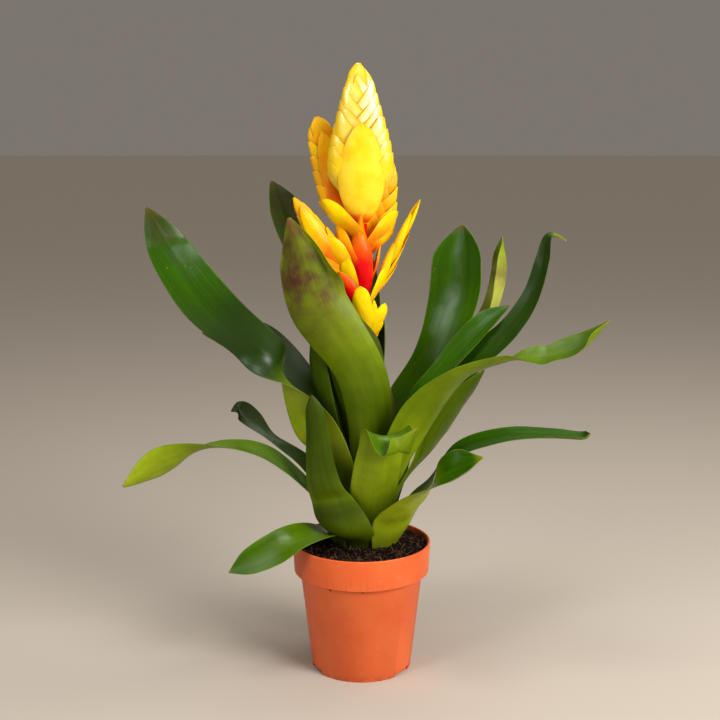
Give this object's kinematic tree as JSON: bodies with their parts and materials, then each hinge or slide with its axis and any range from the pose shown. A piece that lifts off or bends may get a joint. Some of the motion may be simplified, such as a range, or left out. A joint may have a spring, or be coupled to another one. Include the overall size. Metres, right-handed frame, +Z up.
{
  "type": "potted bromeliad",
  "caption": "Bromeliad with glossy strap leaves in a rosette and a branched yellow flower spike, growing in a round tapered plastic nursery pot.",
  "frame": {"origin": "centre of the pot's foot, on the surface the pot stands on", "axes": "+Z up along the pot's axis, +X to the right seen from the front, +Y away from the front"},
  "size_m": [0.3947, 0.2491, 0.5191],
  "materials": {
    "pot": "satin orange terracotta-coloured plastic with fine moulding marks",
    "soil": "damp dark peat with bark crumbs and fibres",
    "leaf": "glossy dark green upper side, paler yellow-green underside",
    "stem": "smooth waxy red to orange",
    "spike": "waxy bright yellow with orange bases"
  },
  "bodies": {
    "root": {"pot": "pot", "soil": "soil", "leaf_left_large": "leaf", "leaf_left_behind": "leaf", "leaf_left_arching": "leaf", "leaf_left_small": "leaf", "leaf_left_over_rim": "leaf", "leaf_front_upright": "leaf", "leaf_front_folded": "leaf", "leaf_right_front_short": "leaf", "leaf_right_low": "leaf", "leaf_right_long": "leaf", "leaf_right_under": "leaf", "leaf_right_upright": "leaf", "leaf_right_narrow": "leaf", "leaf_right_inner": "leaf", "leaf_right_broad": "leaf", "leaf_centre_front": "leaf", "leaf_centre_inner": "leaf", "leaf_back_left": "leaf", "leaf_back_centre": "leaf", "leaf_back_dark": "leaf", "leaf_small_brown": "leaf", "leaf_left_inner": "leaf", "leaf_left_core": "leaf", "leaf_back_low_right": "leaf", "leaf_back_low_centre": "leaf", "leaf_back_low_left": "leaf", "flower_stem": "stem", "spike_main": "spike", "spike_back_left": "spike", "spike_right_back": "spike", "spike_left_low": "spike", "spike_right_slender": "spike", "spike_front_low": "spike"}
  },
  "joints": []
}
